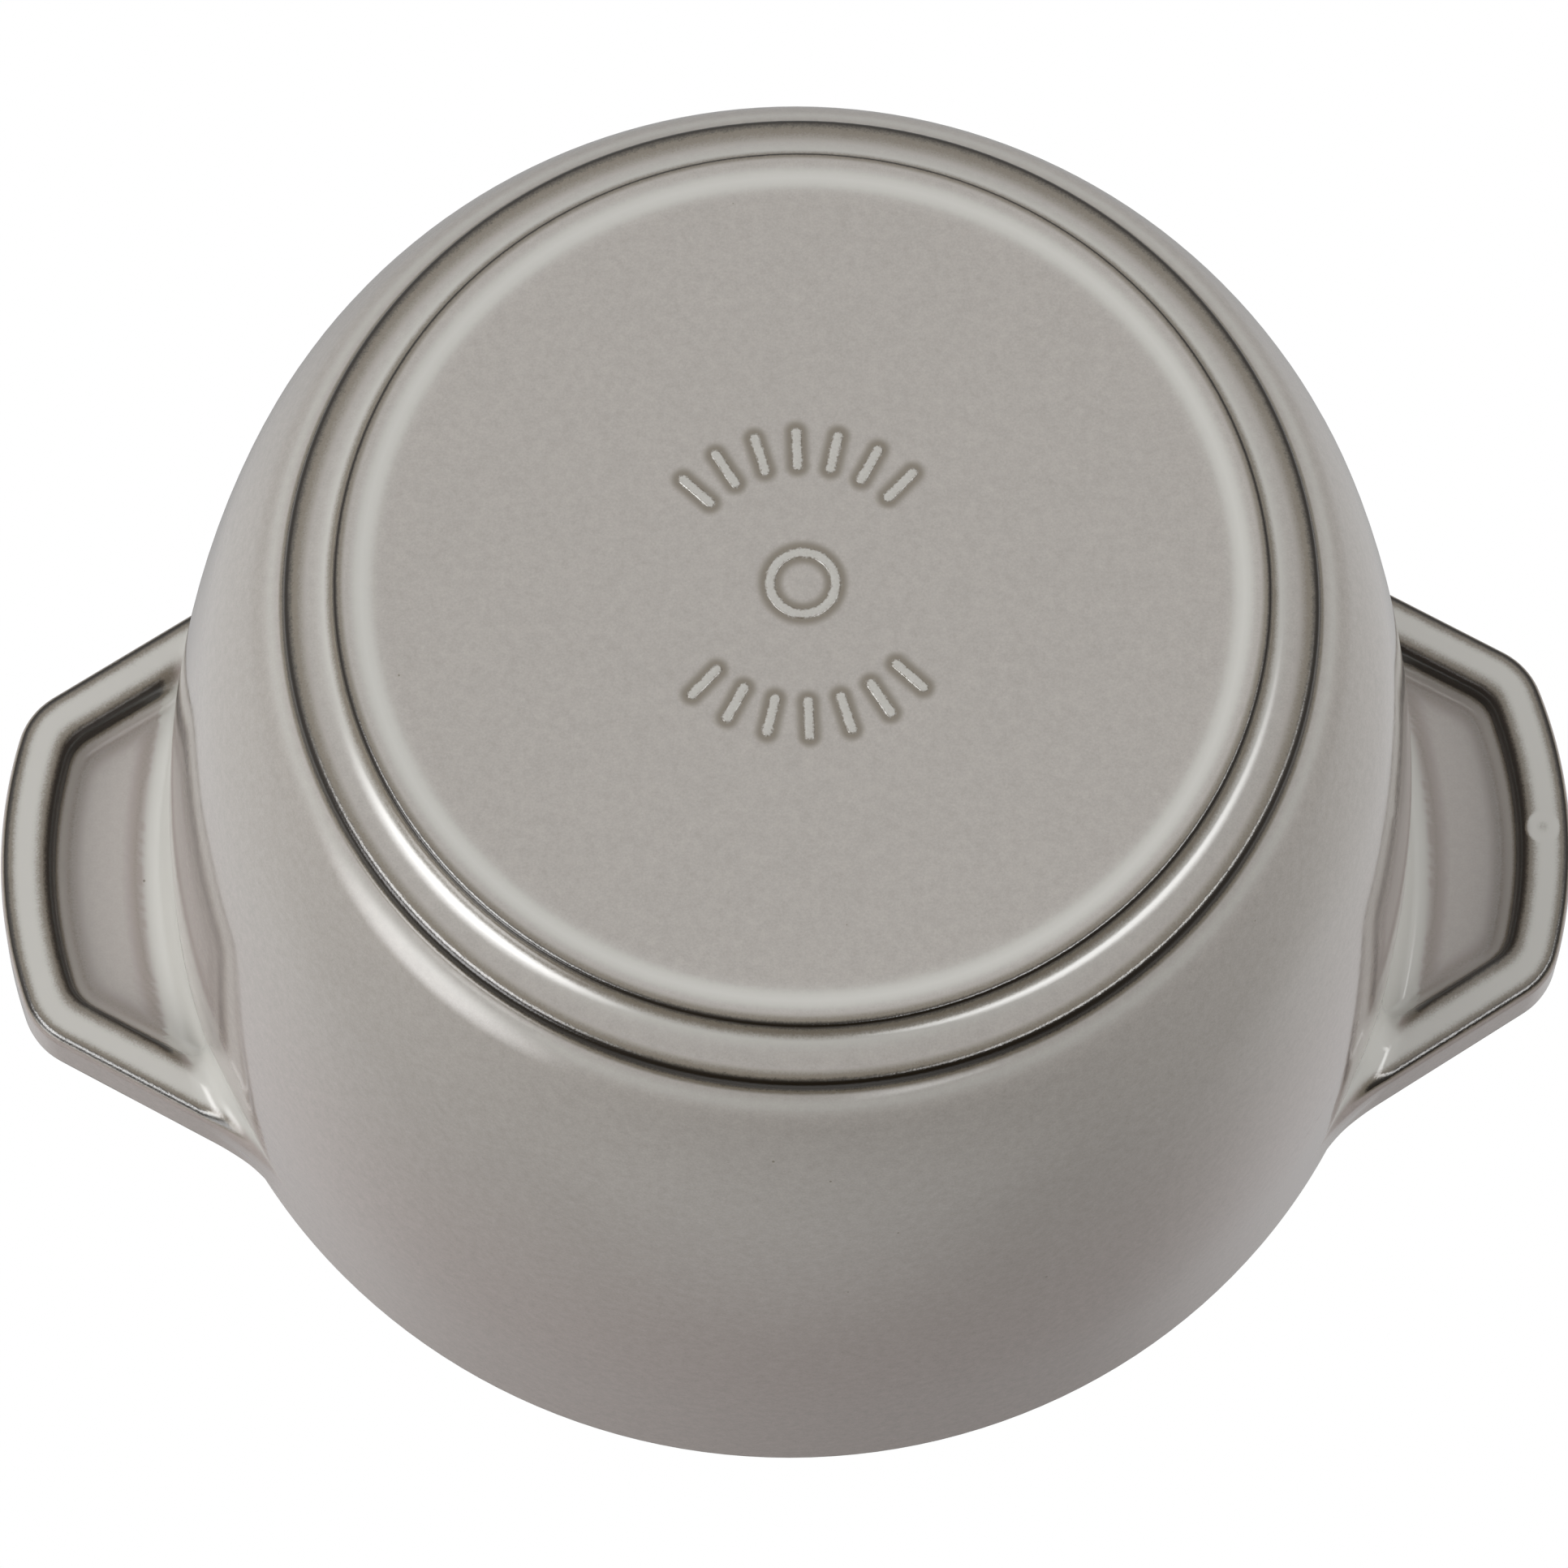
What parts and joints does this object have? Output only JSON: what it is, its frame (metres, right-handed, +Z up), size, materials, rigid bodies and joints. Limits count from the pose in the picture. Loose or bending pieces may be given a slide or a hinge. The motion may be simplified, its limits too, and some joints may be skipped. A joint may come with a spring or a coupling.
{
  "type": "cast iron cocotte",
  "caption": "Round enamelled cast iron cooking pot with tab handles cast on the sides, a stepped foot and a lift-off lid with a turned metal knob.",
  "frame": {"origin": "centre of the flat foot, on the surface that the pot stands on", "axes": "+Z up through the mouth and the knob, +X towards one handle"},
  "size_m": [0.2152, 0.168, 0.1485],
  "materials": {
    "grey_enamel": "gloss grey enamel, thin and dark on edges",
    "nickel": "polished nickel plate",
    "steel": "plain stainless steel"
  },
  "bodies": {
    "pot": {"pot": "grey_enamel"},
    "lid": {"lid": "grey_enamel", "knob": "nickel", "knob_screw": "steel", "spring_washer": "steel"}
  },
  "joints": [
    {"name": "lid_lift", "type": "slide", "parent": "pot", "child": "lid", "axis": [0, 0, 1], "range_m": [0, 0.16]}
  ]
}
